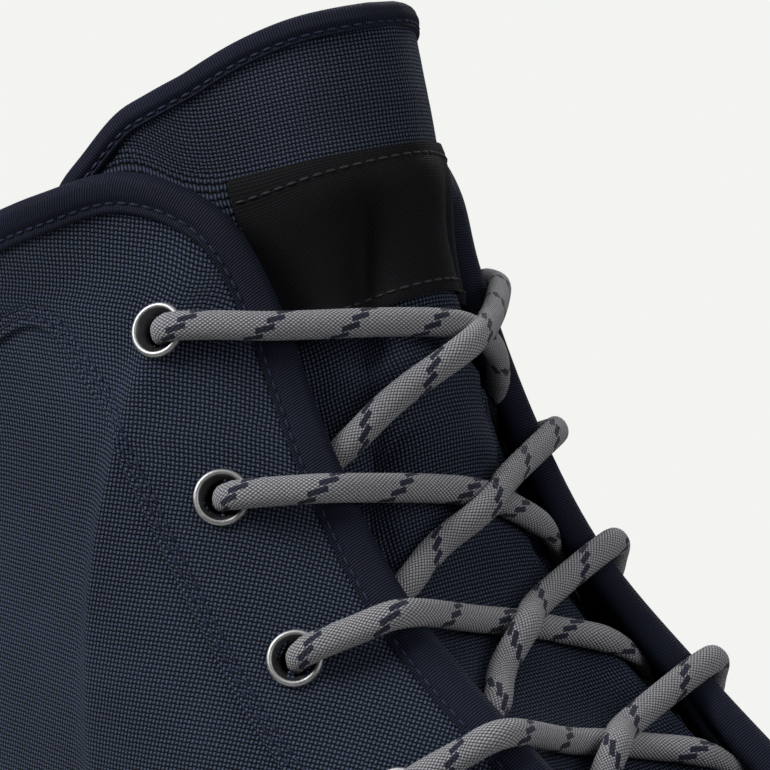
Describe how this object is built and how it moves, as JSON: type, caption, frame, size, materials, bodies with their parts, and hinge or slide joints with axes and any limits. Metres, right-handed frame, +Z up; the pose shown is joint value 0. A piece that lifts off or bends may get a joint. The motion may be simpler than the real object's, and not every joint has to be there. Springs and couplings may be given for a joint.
{
  "type": "wading boot",
  "caption": "Right-foot lace-up wading boot: woven upper with a padded tongue, metal eyelets and crossed laces, on a lugged rubber sole.",
  "frame": {"origin": "middle of the box's floor, between the sole's outermost edges", "axes": "+X from heel to toe, +Y to the medial side, +Z up from the floor"},
  "size_m": [0.306, 0.1192, 0.2259],
  "materials": {
    "navy_nylon": "coarse plain-weave nylon, matt",
    "navy_tape": "ribbed edge tape, matt",
    "dark_nickel": "brushed dark nickel",
    "tongue_nylon": "padded plain-weave nylon, matt",
    "black_label": "woven, matt",
    "grey_lace": "braided, with darker tracer threads",
    "dark_foam": "moulded foam rubber, satin",
    "black_rubber": "moulded rubber, matt",
    "grey_board": "flat lining board, matt"
  },
  "bodies": {
    "root": {"upper": "navy_nylon", "binding": "navy_tape", "eyelet_lateral_1": "dark_nickel", "eyelet_lateral_2": "dark_nickel", "eyelet_lateral_3": "dark_nickel", "eyelet_lateral_4": "dark_nickel", "eyelet_lateral_5": "dark_nickel", "eyelet_lateral_6": "dark_nickel", "eyelet_medial_1": "dark_nickel", "eyelet_medial_2": "dark_nickel", "eyelet_medial_3": "dark_nickel", "eyelet_medial_4": "dark_nickel", "eyelet_medial_5": "dark_nickel", "eyelet_medial_6": "dark_nickel", "tongue": "tongue_nylon", "tongue_binding": "navy_tape", "label": "black_label", "lace_crossing_1": "grey_lace", "lace_crossing_2": "grey_lace", "lace_crossing_3": "grey_lace", "lace_crossing_4": "grey_lace", "lace_crossing_5": "grey_lace", "lace_bar": "grey_lace", "midsole": "dark_foam", "outsole": "black_rubber", "insole": "grey_board"}
  },
  "joints": []
}
